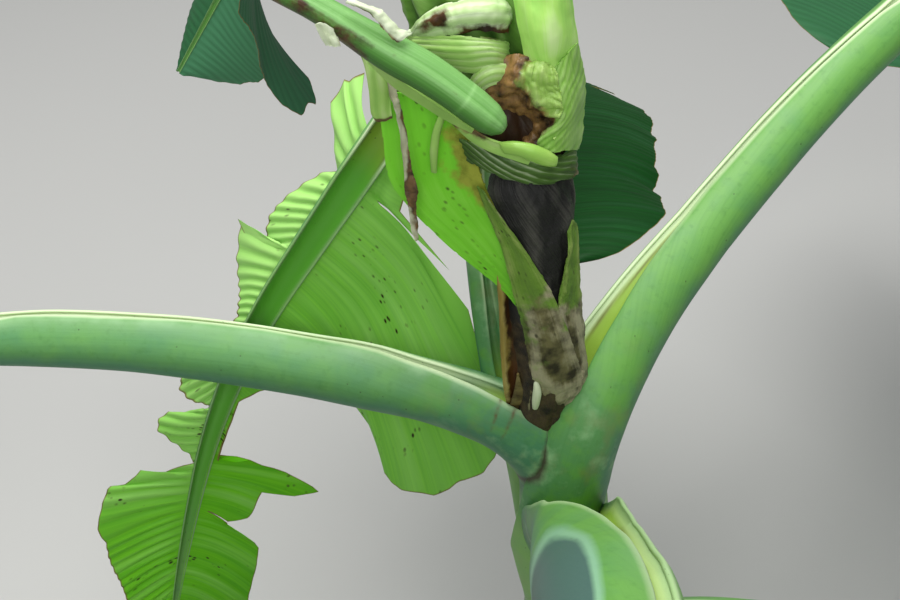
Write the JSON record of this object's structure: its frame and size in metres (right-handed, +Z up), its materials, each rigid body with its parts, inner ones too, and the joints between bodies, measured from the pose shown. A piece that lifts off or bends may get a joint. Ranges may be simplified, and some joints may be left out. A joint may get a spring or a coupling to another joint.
{
  "type": "young banana plant",
  "caption": "Leaning banana plant with channelled leaf stalks, broad torn leaves and a crumpled, rotted heart leaf.",
  "frame": {"origin": "the middle of the flat cut under the pseudostem, on the ground", "axes": "+Z up; the pseudostem leans towards -X; the picture looks along +Y and down, so +X is to its right"},
  "size_m": [1.979, 2.1735, 1.373],
  "materials": {
    "pseudostem": "waxy green sheaths with brown dry margins",
    "leaf_stalk": "smooth, with a pale blue-green wax bloom",
    "fresh_blade": "satin leaf blade",
    "hanging_blade": "satin, thin, light green leaf blade",
    "old_blade": "dull, dark green leaf blade",
    "heart_leaf": "crumpled young leaf with brown rot",
    "dead_leaf": "dry, wrinkled, dead leaf"
  },
  "bodies": {
    "root": {"pseudostem": "pseudostem", "front_leaf_stalk": "leaf_stalk", "right_leaf_stalk": "leaf_stalk", "left_leaf_stalk": "leaf_stalk", "back_leaf_stalk": "leaf_stalk", "back_right_leaf_stalk": "leaf_stalk", "back_left_leaf_stalk": "leaf_stalk", "low_right_leaf_stalk": "leaf_stalk", "low_left_leaf_stalk": "leaf_stalk", "hanging_leaf_stalk": "leaf_stalk", "heart_scroll": "dead_leaf", "heart_knot": "heart_leaf", "rolled_leaf": "heart_leaf", "heart_flap": "heart_leaf", "dry_sheath": "dead_leaf", "front_leaf_inner_blade": "fresh_blade", "front_leaf_outer_blade": "fresh_blade", "right_leaf_inner_blade": "fresh_blade", "right_leaf_outer_blade": "fresh_blade", "left_leaf_inner_blade": "fresh_blade", "left_leaf_outer_blade": "fresh_blade", "back_leaf_inner_blade": "old_blade", "back_leaf_outer_blade": "old_blade", "back_right_leaf_inner_blade": "old_blade", "back_right_leaf_outer_blade": "old_blade", "back_left_leaf_inner_blade": "old_blade", "back_left_leaf_outer_blade": "old_blade", "low_right_leaf_inner_blade": "old_blade", "low_right_leaf_outer_blade": "old_blade", "low_left_leaf_inner_blade": "old_blade", "low_left_leaf_outer_blade": "old_blade", "hanging_leaf_inner_blade": "hanging_blade", "hanging_leaf_outer_blade": "hanging_blade"}
  },
  "joints": []
}
